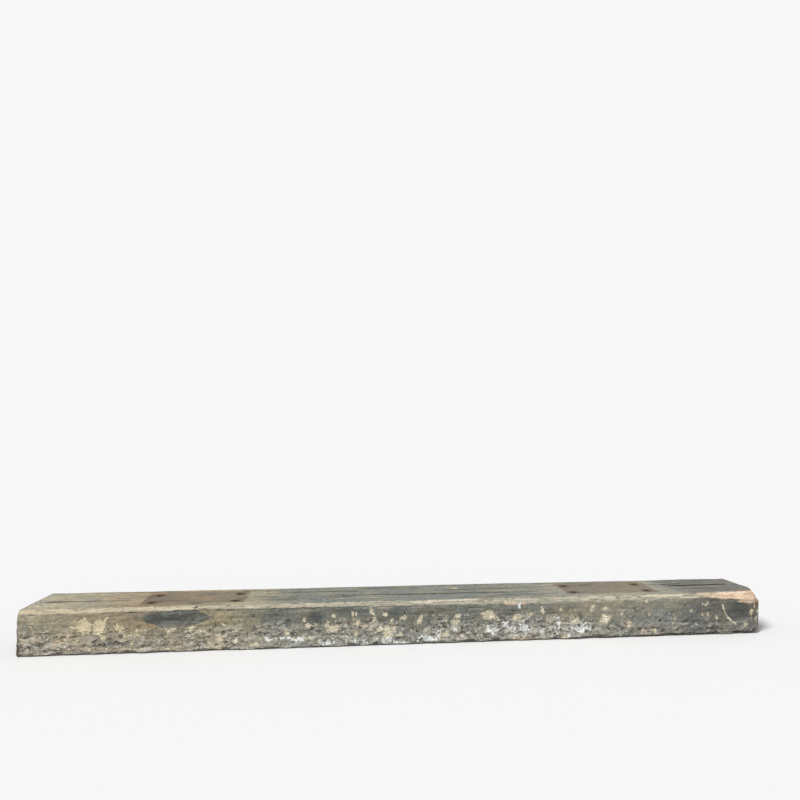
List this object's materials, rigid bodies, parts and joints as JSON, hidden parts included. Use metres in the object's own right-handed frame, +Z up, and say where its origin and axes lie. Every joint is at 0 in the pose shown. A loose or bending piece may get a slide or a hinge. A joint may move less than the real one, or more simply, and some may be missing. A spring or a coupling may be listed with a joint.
{
  "type": "railway sleeper",
  "caption": "Used hardwood railway sleeper: a long sawn timber with waney top edges, pressed base-plate seats bored through for coach screws, and a split corner.",
  "frame": {"origin": "middle of the underside, under the middle of the length and of the width", "axes": "+X along the length, towards the end with the split corner; +Z up, out of the face with the base-plate seats; -Y out of the side that the picture shows"},
  "size_m": [2.5999, 0.25, 0.15],
  "materials": {
    "timber": "weathered grey-brown, with dark creosote and pale worn edges"
  },
  "bodies": {
    "root": {"sleeper": "timber"}
  },
  "joints": []
}
